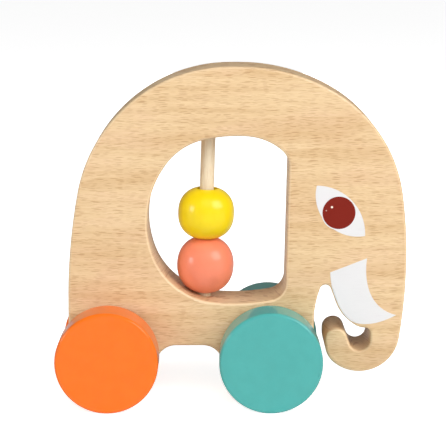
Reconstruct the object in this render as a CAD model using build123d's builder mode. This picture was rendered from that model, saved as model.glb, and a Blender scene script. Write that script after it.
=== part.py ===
from build123d import *
import math
import os

# A wooden elephant on wheels, with two beads on a rod across the opening in its middle.
# Lengths are in millimetres and angles in degrees. The origin is on the floor, under the middle of
# the toy's length and thickness. +X points to the trunk, +Z up and +Y to the far side.

os.makedirs("parts", exist_ok=True)

# ---- driving dimensions ----

overall_length = 122.8
board_thickness = 20.0
board_edge_radius = 1.0

wheel_diameter = 36.0
wheel_width = 12.5
wheel_edge_radius = 1.1
wheel_base = 57.1
wheel_to_board = 1.5

axle_diameter = 6.0
axle_running_clearance = 0.08
axle_chamfer = 0.4
wheel_bore_depth = 8.0
axle_end_clearance = 0.5

rod_diameter = 5.0
rod_lean = 1.85
rod_foot_x = -10.4
rod_recess = 0.5
rod_top_height = 108.4
glue_gap = 0.02

bead_bore_edge_radius = 0.5
coral_radius = 10.1
coral_height = 48.08
coral_off_centre = 0.3
coral_bore_radius = 2.95
coral_half_height = 10.28
coral_squareness = 2.18
yellow_radius = 9.95
yellow_height = 66.78
yellow_off_centre = 0.0
yellow_bore_radius = 3.5
yellow_half_height = 9.4
yellow_squareness = 2.34
bead_profile_steps = 6
bead_profile_angle = 76.0

print_thickness = 0.1

# ---- outline of the board, in x and z ----

foot_height = 4.0
foot_outer_radius = 12.0
foot_inner_radius = 9.6
belly_height = 20.65
belly_radius = 7.0
rear_leg_front_x = -26.6
front_leg_back_x = -3.1

# Each pair is an arc's radius and the angle that it turns through, to the left when positive.
brow_height = 50.9
forehead_arcs = [(164.0, 8.5), (49.6, 52.0), (65.0, 29.5)]
crown_straight = 3.3
back_arcs = [(54.2, 79.0), (215.0, 11.0)]
trunk_arcs = [(190.0, -8.4), (14.1, -121.0), (9.0, -50.6)]
trunk_tip_straight = 1.4
trunk_tip_arcs = [(4.1, -90.0), (3.8, -70.0)]
hook_straight = 3.2
pocket_arcs = [(3.7, 160.0)]
pocket_side_straight = 2.6
pocket_end_arcs = [(2.0, 90.0)]
jaw_arcs = [(6.0, -28.0), (16.0, -42.0)]
jaw_straight = 5.2
slot_arcs = [(2.0, 140.0), (34.0, 20.0)]

# The opening is a round D, with its straight side next to the head.
opening_top = (2.1, 95.4)
opening_left_arcs = [(51.3, 13.3), (22.6, 40.2), (34.7, 55.2), (25.7, 65.5), (70.0, 15.5)]
opening_floor_straight = 6.22
opening_right_arcs = [(40.9, -5.5), (20.8, -32.5)]
opening_shoulder_straight = 4.19
opening_shoulder_radius = 7.5
opening_corner_radius = 6.5

# ---- printed eye and tusk, in x and z ----

eye_high_corner = (29.6, 78.2)
eye_low_corner = (46.6, 60.4)
eye_upper_rise = 5.2
eye_lower_rise = 6.6
pupil_centre = (37.4, 68.6)
pupil_radius = 5.75
pupil_margin = 0.35

tusk_root_back = (34.65, 47.35)
tusk_root_front = (47.45, 52.4)
tusk_tip = (58.1, 31.9)
tusk_inner_points = [(47.3, 46.4), (49.1, 39.2)]
tusk_outer_points = [(52.5, 29.5), (46.8, 28.65), (41.9, 29.95), (38.1, 34.8), (35.65, 40.8)]

# ---- places that follow from these ----

half_length = overall_length / 2
half_thickness = board_thickness / 2
wheel_radius = wheel_diameter / 2
axle_radius = axle_diameter / 2
rod_radius = rod_diameter / 2
rear_axle_x = wheel_radius - half_length
front_axle_x = rear_axle_x + wheel_base
axle_places = [(rear_axle_x, wheel_radius), (front_axle_x, wheel_radius)]
wheel_inner_y = half_thickness + wheel_to_board
axle_half_length = wheel_inner_y + wheel_bore_depth - axle_end_clearance

rod_direction = Vector(0, 0, 1).rotate(Axis.Y, rod_lean)
rod_foot = Vector(rod_foot_x, 0, belly_height)
rod_length = (rod_top_height - belly_height) / math.cos(math.radians(rod_lean))

LEFT = (-1, 0)
RIGHT = (1, 0)
UP = (0, 1)
DOWN = (0, -1)


def arc_chain(start, heading, arcs):
    """Draw arcs end to end, each leaving in the direction of the last, and return the last one."""
    for radius, turn in arcs:
        edge = JernArc(start=start, tangent=heading, radius=radius, arc_size=turn)
        start = edge @ 1
        heading = edge % 1
    return edge


def arcs_after(edge, arcs):
    """Draw arcs that leave the end of an edge in its direction."""
    return arc_chain(edge @ 1, edge % 1, arcs)


def round_corners(sketch, corners, radius):
    """Round the vertices of a sketch that stand at the given corners."""
    fillet([sketch.vertices().sort_by_distance(corner)[0] for corner in corners], radius)


def line_after(edge, length):
    """Draw a straight line that leaves the end of an edge in its direction."""
    return Line(edge @ 1, edge @ 1 + (edge % 1) * length)


# ---- body: one flat board ----

with BuildSketch(Plane.XZ) as board_outline:
    with BuildLine():
        brow = (half_length, brow_height)
        forehead = arc_chain(brow, UP, forehead_arcs)
        crown = line_after(forehead, crown_straight)
        back = arcs_after(crown, back_arcs)

        trunk = arc_chain(brow, DOWN, trunk_arcs)
        tip_side = line_after(trunk, trunk_tip_straight)
        tip = arcs_after(tip_side, trunk_tip_arcs)
        hook = line_after(tip, hook_straight)
        pocket = arcs_after(hook, pocket_arcs)
        pocket_side = line_after(pocket, pocket_side_straight)
        pocket_end = arcs_after(pocket_side, pocket_end_arcs)
        jaw = arcs_after(pocket_end, jaw_arcs)
        jaw_side = line_after(jaw, jaw_straight)
        slot = arcs_after(jaw_side, slot_arcs)

        Polyline(
            slot @ 1,
            ((slot @ 1).X, foot_height),
            (front_leg_back_x, foot_height),
            (front_leg_back_x, belly_height),
            (rear_leg_front_x, belly_height),
            (rear_leg_front_x, foot_height),
            ((back @ 1).X, foot_height),
            back @ 1,
        )
    make_face()

    belly_corners = [(rear_leg_front_x, belly_height), (front_leg_back_x, belly_height)]
    foot_inner_corners = [(rear_leg_front_x, foot_height), (front_leg_back_x, foot_height)]
    foot_outer_corners = [((back @ 1).X, foot_height), ((slot @ 1).X, foot_height)]
    round_corners(board_outline, belly_corners, belly_radius)
    round_corners(board_outline, foot_inner_corners, foot_inner_radius)
    round_corners(board_outline, foot_outer_corners, foot_outer_radius)

    with BuildLine():
        opening_left = arc_chain(opening_top, LEFT, opening_left_arcs)
        opening_floor = line_after(opening_left, opening_floor_straight)
        opening_right = arc_chain(opening_top, RIGHT, opening_right_arcs)
        opening_shoulder = line_after(opening_right, opening_shoulder_straight)
        Line(opening_shoulder @ 1, opening_floor @ 1)
    make_face(mode=Mode.SUBTRACT)
    round_corners(board_outline, [opening_shoulder @ 1], opening_shoulder_radius)
    round_corners(board_outline, [opening_floor @ 1], opening_corner_radius)


def make_board(growth):
    """The board with every face moved out by growth, before its holes are drilled."""
    with BuildPart() as board:
        with BuildSketch(Plane.XZ):
            add(board_outline.sketch_local)
            if growth > 0:
                offset(amount=growth, kind=Kind.ARC)
        extrude(amount=half_thickness + growth, both=True)
        fillet(board.faces().filter_by(Axis.Y).edges(), board_edge_radius + growth)
    return board.part


plain_board = make_board(0)
rod_plane = Plane(origin=rod_foot, z_dir=rod_direction)

with BuildPart() as body:
    add(plain_board)
    with BuildSketch(rod_plane.offset(-rod_radius)):
        Circle(rod_radius + glue_gap)
    extrude(amount=rod_radius + rod_length + glue_gap, mode=Mode.SUBTRACT)
    with BuildSketch(Plane.XZ):
        with Locations(axle_places):
            Circle(axle_radius + axle_running_clearance)
    extrude(amount=board_thickness, both=True, mode=Mode.SUBTRACT)

body.part.label = "body"
export_step(body.part, "parts/body.step")

# ---- bead_rod: a dowel glued into the arch and the belly ----

with BuildPart() as bead_rod:
    with BuildSketch(rod_plane.offset(rod_recess)):
        Circle(rod_radius)
    extrude(amount=rod_length - rod_recess)

bead_rod.part.label = "bead_rod"
export_step(bead_rod.part, "parts/bead_rod.step")


# ---- beads, threaded on the rod ----


def make_bead(height, off_centre, radius, bore_radius, half_height, squareness):
    """A turned bead at a height on the rod, which it sits off centre on by as much as its loose bore lets it.

    A squareness of 2 is round, and more is barrel-shaped.
    """
    across_rod = Vector(1, 0, 0).rotate(Axis.Y, rod_lean)
    along_rod = rod_direction * ((height - belly_height) / rod_direction.Z)
    centre = rod_foot + along_rod + across_rod * off_centre
    side_plane = Plane(origin=centre, x_dir=across_rod, z_dir=(0, -1, 0))
    side_points = []
    for step in range(bead_profile_steps + 1):
        angle = math.radians(bead_profile_angle * step / bead_profile_steps)
        across = radius * math.cos(angle) ** (2 / squareness)
        along = half_height * math.sin(angle) ** (2 / squareness)
        side_points.append((across, along))
    with BuildPart() as bead:
        with BuildSketch(side_plane) as half_profile:
            with BuildLine():
                side = Spline(side_points)
                Polyline(side @ 1, (0, (side @ 1).Y), (0, 0), side @ 0)
            make_face()
            Rectangle(2 * bore_radius, 3 * radius, mode=Mode.SUBTRACT)
            fillet(half_profile.vertices().sort_by(Axis.Y)[-1], bead_bore_edge_radius)
            mirror(about=Plane.XZ)
        revolve(axis=Axis(centre, rod_direction))
    return bead.part


coral_bead = make_bead(
    coral_height, coral_off_centre, coral_radius, coral_bore_radius, coral_half_height, coral_squareness
)
coral_bead.label = "coral_bead"
export_step(coral_bead, "parts/coral_bead.step")

yellow_bead = make_bead(
    yellow_height, yellow_off_centre, yellow_radius, yellow_bore_radius, yellow_half_height, yellow_squareness
)
yellow_bead.label = "yellow_bead"
export_step(yellow_bead, "parts/yellow_bead.step")


# ---- axles and wheels ----


def make_axle(axle_x):
    """A dowel across the board, with chamfered ends, that its two wheels are glued to."""
    with BuildPart() as axle:
        with BuildSketch(Plane.XZ):
            with Locations((axle_x, wheel_radius)):
                Circle(axle_radius)
        extrude(amount=axle_half_length, both=True)
        chamfer(axle.edges().filter_by(GeomType.CIRCLE), axle_chamfer)
    return axle.part


def make_wheel(axle_x, side):
    """A wheel with a blind bore on its inner face. Its side is -1 for near and 1 for far."""
    inner_plane = Plane(origin=(axle_x, side * wheel_inner_y, wheel_radius), z_dir=(0, side, 0))
    with BuildPart() as wheel:
        with BuildSketch(inner_plane):
            Circle(wheel_radius)
        extrude(amount=wheel_width)
        fillet(wheel.edges().filter_by(GeomType.CIRCLE), wheel_edge_radius)
        with BuildSketch(inner_plane):
            Circle(axle_radius + glue_gap)
        extrude(amount=wheel_bore_depth, mode=Mode.SUBTRACT)
    return wheel.part


for end, axle_x in (("rear", rear_axle_x), ("front", front_axle_x)):
    axle = make_axle(axle_x)
    axle.label = f"{end}_axle"
    export_step(axle, f"parts/{axle.label}.step")
    for place, side in (("near", -1), ("far", 1)):
        wheel = make_wheel(axle_x, side)
        wheel.label = f"{end}_wheel_{place}"
        export_step(wheel, f"parts/{wheel.label}.step")


# ---- prints: thin layers of ink on both faces of the board ----

face_plane = Plane.XZ.offset(half_thickness)

with BuildPart() as eye_print:
    with BuildSketch(face_plane):
        with BuildLine():
            SagittaArc(eye_high_corner, eye_low_corner, eye_upper_rise)
            SagittaArc(eye_high_corner, eye_low_corner, -eye_lower_rise)
        make_face()
        with Locations(pupil_centre):
            Circle(pupil_radius + pupil_margin)
            Circle(pupil_radius, mode=Mode.SUBTRACT)
    extrude(amount=print_thickness)
    mirror(about=Plane.XZ)

eye_print.part.label = "eye_print"
export_step(eye_print.part, "parts/eye_print.step")

with BuildPart() as pupil_print:
    with BuildSketch(face_plane):
        with Locations(pupil_centre):
            Circle(pupil_radius)
    extrude(amount=print_thickness)
    mirror(about=Plane.XZ)

pupil_print.part.label = "pupil_print"
export_step(pupil_print.part, "parts/pupil_print.step")

# The tusk reaches the jaw's edge, so its ink follows the rounded edge of the board.
with BuildPart() as tusk_print:
    with BuildSketch(face_plane.offset(-board_edge_radius)):
        with BuildLine():
            Line(tusk_root_back, tusk_root_front)
            Spline(tusk_root_front, *tusk_inner_points, tusk_tip)
            Spline(tusk_tip, *tusk_outer_points, tusk_root_back)
        make_face()
    extrude(amount=board_edge_radius + print_thickness)
    add(make_board(print_thickness), mode=Mode.INTERSECT)
    add(plain_board, mode=Mode.SUBTRACT)
    mirror(about=Plane.XZ)

tusk_print.part.label = "tusk_print"
export_step(tusk_print.part, "parts/tusk_print.step")
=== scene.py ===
"""Looks of a beech pull along elephant: lacquered wood, painted wheels and beads, printed eye and tusk.

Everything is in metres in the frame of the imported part: +X towards the trunk, +Z up, the side with the
nearer wheels at -Y. Each wooden piece gets its own grain direction, and each painted one its own colour.
"""

import math
from collections import namedtuple

import bpy
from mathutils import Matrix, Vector


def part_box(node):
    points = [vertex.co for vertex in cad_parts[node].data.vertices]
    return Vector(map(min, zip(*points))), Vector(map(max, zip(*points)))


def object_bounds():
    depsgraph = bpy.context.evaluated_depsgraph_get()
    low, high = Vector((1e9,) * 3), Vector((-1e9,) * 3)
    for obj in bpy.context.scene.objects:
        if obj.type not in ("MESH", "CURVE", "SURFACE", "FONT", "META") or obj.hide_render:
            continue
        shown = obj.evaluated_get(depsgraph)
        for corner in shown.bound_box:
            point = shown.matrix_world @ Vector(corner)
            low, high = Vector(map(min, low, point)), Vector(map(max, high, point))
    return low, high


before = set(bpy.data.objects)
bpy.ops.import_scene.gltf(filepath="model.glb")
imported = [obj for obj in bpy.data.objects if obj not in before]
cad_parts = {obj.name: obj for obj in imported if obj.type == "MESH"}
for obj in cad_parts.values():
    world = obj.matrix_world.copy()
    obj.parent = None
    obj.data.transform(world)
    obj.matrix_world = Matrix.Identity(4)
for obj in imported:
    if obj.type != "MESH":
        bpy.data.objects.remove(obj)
cad_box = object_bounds()

MM = 0.001

# Colours are linear RGB. Pale and rosy wood alternate slowly, and warm and fleck colour the grain on them.
Wood = namedtuple("Wood", "pale rosy warm fleck")
BEECH = Wood(pale=(0.82, 0.61, 0.355), rosy=(0.82, 0.59, 0.36),
             warm=(0.66, 0.425, 0.21), fleck=(0.45, 0.205, 0.075))
DOWEL = Wood(pale=(0.88, 0.76, 0.56), rosy=(0.88, 0.76, 0.56),
             warm=(0.78, 0.61, 0.40), fleck=(0.62, 0.42, 0.24))
# Paler colour of the painted highlight on the board's rounded edges, which stands in for the light they
# catch.
EDGE_HIGHLIGHT_COLOUR = (0.95, 0.76, 0.51)
ORANGE = (0.93, 0.173, 0.002)
TEAL = (0.072, 0.415, 0.388)
YELLOW = (0.92, 0.69, 0.002)
CORAL = (0.93, 0.26, 0.145)
WHITE_INK = (0.77, 0.757, 0.76)
RED_INK = (0.215, 0.013, 0.005)
CATCHLIGHT = (0.95, 0.86, 0.74)
WHITE = (1.0, 1.0, 1.0)
FLOOR_DARKER = (0.91, 0.91, 0.91)
FLOOR_LIGHTER = (0.95, 0.95, 0.95)

# The axes that lie along the grain, into the wood and across the grain.
GRAIN_ALONG_X = (0, 1, 2)
GRAIN_ALONG_Y = (1, 0, 2)
GRAIN_ALONG_Z = (2, 1, 0)

# A pattern is noise in cells of a size in millimetres, given along the grain, into the wood and across the
# grain. Its shift keeps it from coinciding with another. As a tint it adds nothing where the noise is below
# low, and its share of the other colour where the noise is above high.
Pattern = namedtuple("Pattern", "cell shift detail roughness low high share", defaults=(0.0, 1.0, 1.0))
WANDER = Pattern((26.0, 30.0, 8.0), shift=0.0, detail=2.0, roughness=0.5, low=0.42, high=0.66)
BANDS = Pattern((60.0, 9.0, 4.0), shift=3.0, detail=3.0, roughness=0.55, low=0.35, high=0.7, share=0.7)
STREAKS = Pattern((16.0, 2.0, 0.6), shift=19.0, detail=2.0, roughness=0.5, low=0.4, high=0.75, share=0.26)
FIBRES = Pattern((5.0, 0.7, 0.22), shift=7.0, detail=2.0, roughness=0.5, low=0.38, high=0.68, share=0.32)
PAINT_CLOUDS = Pattern((5.0, 5.0, 5.0), shift=5.0, detail=4.0, roughness=0.6, low=0.3, high=0.7)
PAINT_FIBRES = Pattern((6.0, 0.5, 0.35), shift=13.0, detail=3.0, roughness=0.6,
                       low=0.55, high=0.8, share=0.18)
PAINT_PEEL = Pattern((0.9, 0.9, 0.9), shift=17.0, detail=2.0, roughness=0.5)
INK_FIBRES = Pattern((7.0, 2.0, 0.3), shift=7.0, detail=3.0, roughness=0.6, low=0.5, high=0.8, share=0.5)
INK_SPECKS = Pattern((0.35, 0.35, 0.35), shift=3.0, detail=2.0, roughness=0.5,
                     low=0.6, high=0.75, share=0.35)
FLOOR_CLOUDS = Pattern((60.0, 60.0, 60.0), shift=0.0, detail=3.0, roughness=0.5)

# A fleck fills part of its cell: reach is its radius as a share of the cell. The faintest fleck has a small
# share of the strongest one's strength.
Flecks = namedtuple("Flecks", "cell shift reach strength")
LARGE_FLECKS = Flecks((7.5, 1.0, 0.62), shift=11.0, reach=0.24, strength=1.1)
SMALL_FLECKS = Flecks((4.2, 1.0, 0.37), shift=29.0, reach=0.26, strength=0.85)
FAINTEST_FLECK = 0.15

# How far growth bands wander across the grain, how much they slant into the wood, how deep the full relief
# is, and the shares of it that bare wood, covered wood and orange peel have.
WANDER_DEPTH = 2.0 * MM
GRAIN_SLANT = 0.12
RELIEF_DEPTH = 0.02 * MM
WOOD_RELIEF = 0.5
COVERED_RELIEF = 0.4
PEEL_RELIEF = 0.4

# The lacquer's clear coat, the lower reflection of print and paint, and the gloss of each kind of paint.
LACQUER = {"Specular IOR Level": 0.35, "Coat Weight": 0.3, "Coat Roughness": 0.3}
COVERED_SPECULAR = 0.2
Gloss = namedtuple("Gloss", "roughness coat coat_roughness fibre_relief")
WHEEL_GLOSS = Gloss(roughness=0.4, coat=0.7, coat_roughness=0.08, fibre_relief=0.8)
BEAD_GLOSS = Gloss(roughness=0.35, coat=0.5, coat_roughness=0.2, fibre_relief=0.3)

# The board's rounded edges face sideways (along Y) more than its walls do and less than its flat faces. They
# get a painted highlight that stands in for the light they catch. The opening's edges lie nearer its middle
# than any other edge, and the others have a share of their painted highlight.
OPENING_MIDDLE = (-0.006, 0.0, 0.066)
OPENING_TO_OUTSIDE = (0.0375, 0.042)
OUTER_EDGE_SHARE = 0.5
WALL_TO_EDGE = (0.2, 0.6)
EDGE_TO_FACE = (0.9, 0.99)

# The pupil's two catchlights: across, up and radius as shares of the pupil's radius, then strength. Each
# fades out between two shares of its own radius.
CATCHLIGHTS = ((-0.43, 0.35, 0.075, 1.0), (-0.77, 0.14, 0.045, 0.45))
CATCHLIGHT_FADE = (0.6, 1.1)

# How bright the surroundings are from each side, and how much the floor is lifted towards white.
WORLD_FRONT = 0.57
WORLD_BACK = 0.08
WORLD_ABOVE = 0.3
WORLD_MIRRORED = 0.21
WORLD_SEEN = 1.0
FLOOR_GLOW = 0.79
FLOOR_SIZE = 12.0
FLOOR_PARTS = 8
FLOOR_ROUGHNESS = 0.9

# Azimuth 0 is in front of the toy (-Y) and 90 is to its right (+X). Degrees, metres and watts.
Softbox = namedtuple("Softbox", "name azimuth elevation distance size power mirrored")
SOFTBOXES = (
    Softbox("left_softbox", -63.5, 13.0, 1.0, 0.28, 2.3, mirrored=True),
    Softbox("right_softbox", 54.0, 33.0, 1.1, 0.66, 7.0, mirrored=True),
    Softbox("front_softbox", 8.0, 47.0, 1.1, 0.8, 4.5, mirrored=False),
    Softbox("rear_softbox", 180.0, 8.0, 1.2, 0.8, 4.2, mirrored=False),
)

CAMERA_PLACE = (-0.00429, -0.52257, 0.16623)
CAMERA_PITCH = 11.17
CAMERA_TURN = 0.15
CAMERA_LENS = 121.08
CAMERA_SENSOR = 36.0


# ---------------------------------------------------------------- node helpers

def feed(tree, socket, value):
    """Links a socket, or sets a value, in one input. Colours are given without their alpha."""
    if isinstance(value, bpy.types.NodeSocket):
        tree.links.new(value, socket)
    elif socket.type == "RGBA":
        socket.default_value = (*value, 1.0)
    else:
        socket.default_value = value


def add_node(tree, kind, inputs=None, **settings):
    """Adds one shader node; inputs are values or the sockets that feed them."""
    node = tree.nodes.new("ShaderNode" + kind)
    for name, value in settings.items():
        setattr(node, name, value)
    for key, value in (inputs or {}).items():
        feed(tree, node.inputs[key], value)
    return node


def maths(tree, operation, *values):
    """The output of a Math node."""
    return add_node(tree, "Math", dict(enumerate(values)), operation=operation).outputs[0]


def rescale(tree, value, low, high, new_low=0.0, new_high=1.0):
    """value taken smoothly from low..high to new_low..new_high, and held there outside."""
    inputs = {"Value": value, "From Min": low, "From Max": high, "To Min": new_low, "To Max": new_high}
    return add_node(tree, "MapRange", inputs, interpolation_type="SMOOTHSTEP").outputs[0]


def mix_colours(tree, factor, first, second):
    """first changed towards second by factor."""
    return add_node(tree, "Mix", {0: factor, 6: first, 7: second}, data_type="RGBA").outputs[2]


def mix_values(tree, factor, first, second):
    """first changed towards second by factor."""
    return add_node(tree, "Mix", {0: factor, 2: first, 3: second}).outputs[0]


def axes_of(tree, vector):
    """The three parts of a vector."""
    return add_node(tree, "SeparateXYZ", {0: vector}).outputs


def vector_of(tree, *parts):
    """A vector from its parts."""
    return add_node(tree, "CombineXYZ", dict(enumerate(parts))).outputs[0]


def object_place(tree):
    """Where a point is on its object, which stays the same when the object moves."""
    return add_node(tree, "TexCoord").outputs["Object"]


def grain_place(tree, order):
    """Where a point is along the grain, into the wood and across the grain."""
    parts = axes_of(tree, object_place(tree))
    return vector_of(tree, *(parts[axis] for axis in order))


def in_cells(tree, place, pattern):
    """place counted in the cells of a pattern or of flecks."""
    scale = [1.0 / (size * MM) for size in pattern.cell]
    inputs = {"Vector": place, "Scale": scale, "Location": (pattern.shift,) * 3}
    return add_node(tree, "Mapping", inputs).outputs[0]


def noise(tree, place, pattern):
    """The noise of a pattern, 0 to 1."""
    inputs = {"Vector": in_cells(tree, place, pattern), "Scale": 1.0,
              "Detail": pattern.detail, "Roughness": pattern.roughness}
    return add_node(tree, "TexNoise", inputs).outputs[0]


def tint(tree, colour, value, pattern, other):
    """colour changed towards other where value, the noise of pattern, is high."""
    share = rescale(tree, value, pattern.low, pattern.high, 0.0, pattern.share)
    return mix_colours(tree, share, colour, other)


def distance_from_front(tree, middle):
    """How far a point is from middle as seen from the front, which leaves out depth along Y."""
    offset = add_node(tree, "VectorMath", {0: object_place(tree), 1: middle}, operation="SUBTRACT")
    parts = axes_of(tree, offset.outputs[0])
    flat = vector_of(tree, parts[0], parts[2])
    return add_node(tree, "VectorMath", {0: flat}, operation="LENGTH").outputs["Value"]


def new_material(name):
    """An empty node material with its Principled shader."""
    material = bpy.data.materials.new(name)
    material.use_nodes = True
    tree = material.node_tree
    tree.nodes.clear()
    shader = add_node(tree, "BsdfPrincipled")
    output = add_node(tree, "OutputMaterial", {"Surface": shader.outputs[0]})
    output.is_active_output = True
    return material, tree, shader


def set_inputs(tree, shader, inputs):
    """Feeds or sets named inputs of a shader."""
    for key, value in inputs.items():
        feed(tree, shader.inputs[key], value)


def bump(tree, height, strength):
    """A normal from the relief that a height of 0 to 1 gives."""
    inputs = {"Height": height, "Distance": RELIEF_DEPTH, "Strength": strength}
    return add_node(tree, "Bump", inputs).outputs[0]


# ---------------------------------------------------------------- wood

def ray_flecks(tree, place, flecks):
    """The short spindle marks that rays leave along the grain, each of its own strength, and 0 elsewhere."""
    parts = axes_of(tree, in_cells(tree, place, flecks))
    flat = vector_of(tree, parts[0], parts[2])
    cells = add_node(tree, "TexVoronoi", {"Vector": flat, "Scale": 1.0}, voronoi_dimensions="2D").outputs
    inside = rescale(tree, cells["Distance"], 0.6 * flecks.reach, flecks.reach, 1.0, 0.0)
    own = add_node(tree, "SeparateColor", {0: cells["Color"]}).outputs[0]
    faintest = FAINTEST_FLECK * flecks.strength
    return maths(tree, "MULTIPLY", inside, rescale(tree, own, 0.0, 0.9, faintest, flecks.strength))


def painted_edge_highlight(tree, strength):
    """Up to strength of painted highlight on the board's rounded edges, standing in for the light they
    catch, most at the opening.
    """
    normal = add_node(tree, "TexCoord").outputs["Normal"]
    sideways = maths(tree, "ABSOLUTE", axes_of(tree, normal)[1])
    off_wall = rescale(tree, sideways, *WALL_TO_EDGE, 0.0, strength)
    off_face = rescale(tree, sideways, *EDGE_TO_FACE, 1.0, 0.0)
    away = distance_from_front(tree, OPENING_MIDDLE)
    share = rescale(tree, away, *OPENING_TO_OUTSIDE, 1.0, OUTER_EDGE_SHARE)
    return maths(tree, "MULTIPLY", maths(tree, "MULTIPLY", off_wall, off_face), share)


def beech(name, order, wood, fleck_strength, roughness, edge_highlight_strength=0.0):
    """Lacquered beech or dowel: growth bands, fibres and ray flecks that follow the grain."""
    material, tree, shader = new_material(name)
    place = grain_place(tree, order)
    wander = noise(tree, place, WANDER)
    drift = maths(tree, "MULTIPLY", maths(tree, "SUBTRACT", wander, 0.5), WANDER_DEPTH)
    parts = axes_of(tree, place)
    slant = maths(tree, "MULTIPLY", parts[1], GRAIN_SLANT)
    across = maths(tree, "ADD", maths(tree, "ADD", parts[2], drift), slant)
    place = vector_of(tree, parts[0], parts[1], across)

    bands = noise(tree, place, BANDS)
    fibres = noise(tree, place, FIBRES)
    colour = tint(tree, wood.pale, wander, WANDER, wood.rosy)
    colour = tint(tree, colour, bands, BANDS, wood.warm)
    colour = tint(tree, colour, noise(tree, place, STREAKS), STREAKS, wood.warm)
    colour = tint(tree, colour, fibres, FIBRES, wood.warm)

    large = ray_flecks(tree, place, LARGE_FLECKS)
    small = ray_flecks(tree, place, SMALL_FLECKS)
    marks = maths(tree, "MULTIPLY", maths(tree, "MAXIMUM", large, small), fleck_strength)
    marks = maths(tree, "MULTIPLY", marks, rescale(tree, bands, 0.3, 0.65, 0.6, 1.0))
    colour = mix_colours(tree, marks, colour, wood.fleck)
    # Painted highlight: the rounded edges are mixed towards a paler colour that stands in for the light they
    # catch.
    if edge_highlight_strength:
        colour = mix_colours(tree, painted_edge_highlight(tree, edge_highlight_strength), colour, EDGE_HIGHLIGHT_COLOUR)

    set_inputs(tree, shader, {
        "Base Color": colour,
        "Roughness": rescale(tree, fibres, 0.3, 0.75, roughness - 0.05, roughness + 0.08),
        "Normal": bump(tree, maths(tree, "SUBTRACT", fibres, marks), WOOD_RELIEF),
        **LACQUER,
    })
    return material


# ---------------------------------------------------------------- paint

def paint(name, colour, order, gloss):
    """Paint on turned wood: faint cloudiness, fibres that show through, and orange peel in the gloss."""
    material, tree, shader = new_material(name)
    place = grain_place(tree, order)
    clouds = noise(tree, place, PAINT_CLOUDS)
    fibres = noise(tree, place, PAINT_FIBRES)
    peel = noise(tree, place, PAINT_PEEL)
    darker = tuple(0.955 * part for part in colour)
    lighter = tuple(1.01 * part + 0.001 for part in colour)
    tone = tint(tree, darker, clouds, PAINT_CLOUDS, lighter)
    tone = tint(tree, tone, fibres, PAINT_FIBRES, darker)
    relief = maths(tree, "ADD", maths(tree, "MULTIPLY", fibres, gloss.fibre_relief),
                   maths(tree, "MULTIPLY", peel, PEEL_RELIEF))
    set_inputs(tree, shader, {
        "Base Color": tone,
        "Roughness": rescale(tree, clouds, 0.3, 0.7, gloss.roughness - 0.02, gloss.roughness + 0.03),
        "Normal": bump(tree, relief, COVERED_RELIEF),
        "Specular IOR Level": COVERED_SPECULAR,
        "Coat Weight": gloss.coat,
        "Coat Roughness": gloss.coat_roughness,
    })
    return material


# ---------------------------------------------------------------- print

def ink(name, colour):
    """A thin printed layer that lets the fibres below show faintly, with its tree, shader and tone."""
    material, tree, shader = new_material(name)
    place = object_place(tree)
    fibres = noise(tree, place, INK_FIBRES)
    specks = noise(tree, place, INK_SPECKS)
    thin = tuple(0.9 * part for part in colour)
    tone = tint(tree, colour, fibres, INK_FIBRES, thin)
    tone = tint(tree, tone, specks, INK_SPECKS, thin)
    set_inputs(tree, shader, {
        "Base Color": tone,
        "Roughness": rescale(tree, specks, 0.3, 0.7, 0.42, 0.55),
        "Normal": bump(tree, maths(tree, "ADD", fibres, specks), COVERED_RELIEF),
        "Specular IOR Level": COVERED_SPECULAR,
    })
    return material, tree, shader, tone


def pupil_ink(name, colour, node):
    """Dark ink with two small catchlights, in the upper left as seen from the front."""
    material, tree, shader, tone = ink(name, colour)
    low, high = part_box(node)
    middle = (low + high) / 2
    radius = (high.x - low.x) / 2
    for across, up, size, strength in CATCHLIGHTS:
        spot_middle = (middle.x + across * radius, middle.y, middle.z + up * radius)
        away = distance_from_front(tree, spot_middle)
        fade = [part * size * radius for part in CATCHLIGHT_FADE]
        spot = rescale(tree, away, *fade, strength, 0.0)
        tone = mix_colours(tree, spot, tone, CATCHLIGHT)
    set_inputs(tree, shader, {"Base Color": tone})
    return material


# ---------------------------------------------------------------- stage

def add_softbox(softbox, target):
    """A square area light aimed at target. The camera never sees it, and gloss mirrors only some of them."""
    data = bpy.data.lights.new(softbox.name, "AREA")
    data.energy = softbox.power
    data.size = softbox.size
    lamp = bpy.data.objects.new(softbox.name, data)
    turn, rise = math.radians(softbox.azimuth), math.radians(softbox.elevation)
    away = Vector((math.sin(turn) * math.cos(rise), -math.cos(turn) * math.cos(rise), math.sin(rise)))
    lamp.location = target + softbox.distance * away
    lamp.rotation_euler = away.to_track_quat("Z", "Y").to_euler()
    lamp.visible_camera = False
    lamp.visible_glossy = softbox.mirrored
    bpy.context.scene.collection.objects.link(lamp)


def make_world():
    """Soft studio light, stronger from the camera's side, before a white backdrop."""
    world = bpy.data.worlds.new("studio")
    bpy.context.scene.world = world
    world.use_nodes = True
    tree = world.node_tree
    tree.nodes.clear()
    parts = axes_of(tree, add_node(tree, "TexCoord").outputs["Generated"])
    around = rescale(tree, parts[1], 0.8, -0.8, WORLD_BACK, WORLD_FRONT)
    level = maths(tree, "MULTIPLY", around, rescale(tree, parts[2], 0.2, 0.9, 1.0, WORLD_ABOVE))
    rays = add_node(tree, "LightPath").outputs
    level = mix_values(tree, rays["Is Glossy Ray"], level, WORLD_MIRRORED)
    strength = mix_values(tree, rays["Is Camera Ray"], level, WORLD_SEEN)
    shader = add_node(tree, "Background", {"Color": WHITE, "Strength": strength})
    add_node(tree, "OutputWorld", {"Surface": shader.outputs[0]})


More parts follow.
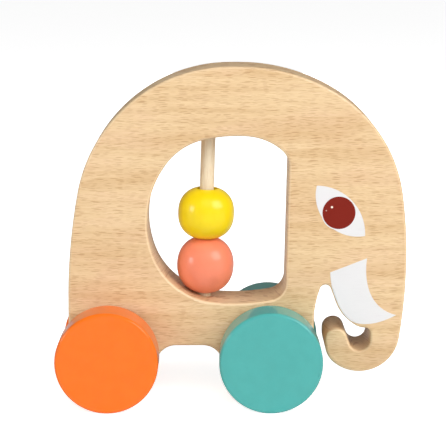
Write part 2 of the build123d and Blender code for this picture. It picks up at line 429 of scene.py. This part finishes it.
def make_floor(level):
    """A wide pale floor whose far edge stays out of sight."""
    bpy.ops.mesh.primitive_grid_add(
        x_subdivisions=FLOOR_PARTS, y_subdivisions=FLOOR_PARTS, size=FLOOR_SIZE, location=(0, 0, level))
    floor = bpy.context.object
    floor.name = "floor"
    material, tree, shader = new_material("floor_card")
    clouds = noise(tree, object_place(tree), FLOOR_CLOUDS)
    seen = add_node(tree, "LightPath").outputs["Is Camera Ray"]
    set_inputs(tree, shader, {
        "Base Color": mix_colours(tree, clouds, FLOOR_DARKER, FLOOR_LIGHTER),
        "Roughness": FLOOR_ROUGHNESS,
        "Emission Color": WHITE,
        "Emission Strength": maths(tree, "MULTIPLY", seen, FLOOR_GLOW),
    })
    floor.data.materials.append(material)


def make_camera():
    """The camera stands before the toy, a little above it, and looks slightly down."""
    data = bpy.data.cameras.new("camera")
    data.sensor_width = CAMERA_SENSOR
    data.lens = CAMERA_LENS
    camera = bpy.data.objects.new("camera", data)
    camera.location = CAMERA_PLACE
    camera.rotation_euler = (math.radians(90.0 - CAMERA_PITCH), 0.0, -math.radians(CAMERA_TURN))
    bpy.context.scene.collection.objects.link(camera)
    bpy.context.scene.camera = camera


# ---------------------------------------------------------------- scene

def give(name, material):
    """Gives a CAD node its material."""
    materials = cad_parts[name].data.materials
    materials.clear()
    materials.append(material)


# The board gets a painted highlight on its rounded edges.
give("body", beech("beech_board", GRAIN_ALONG_X, BEECH, fleck_strength=0.66, roughness=0.52, edge_highlight_strength=0.4))
give("bead_rod", beech("dowel_rod", GRAIN_ALONG_Z, DOWEL, fleck_strength=0.4, roughness=0.5))
axle_wood = beech("dowel_axle", GRAIN_ALONG_Y, DOWEL, fleck_strength=0.3, roughness=0.55)
give("rear_axle", axle_wood)
give("front_axle", axle_wood)
for wheel, wheel_colour in (("rear_wheel", ORANGE), ("front_wheel", TEAL)):
    wheel_paint = paint(wheel + "_paint", wheel_colour, GRAIN_ALONG_X, WHEEL_GLOSS)
    give(wheel + "_near", wheel_paint)
    give(wheel + "_far", wheel_paint)
for bead, bead_colour in (("yellow_bead", YELLOW), ("coral_bead", CORAL)):
    give(bead, paint(bead + "_paint", bead_colour, GRAIN_ALONG_Z, BEAD_GLOSS))
white_ink = ink("white_ink", WHITE_INK)[0]
give("eye_print", white_ink)
give("tusk_print", white_ink)
give("pupil_print", pupil_ink("red_ink", RED_INK, "pupil_print"))

cad_low, cad_high = cad_box
toy_middle = (Vector(cad_low) + Vector(cad_high)) / 2
make_world()
make_floor(cad_low[2])
for lamp_plan in SOFTBOXES:
    add_softbox(lamp_plan, toy_middle)
make_camera()
bpy.context.scene.view_settings.view_transform = "Standard"
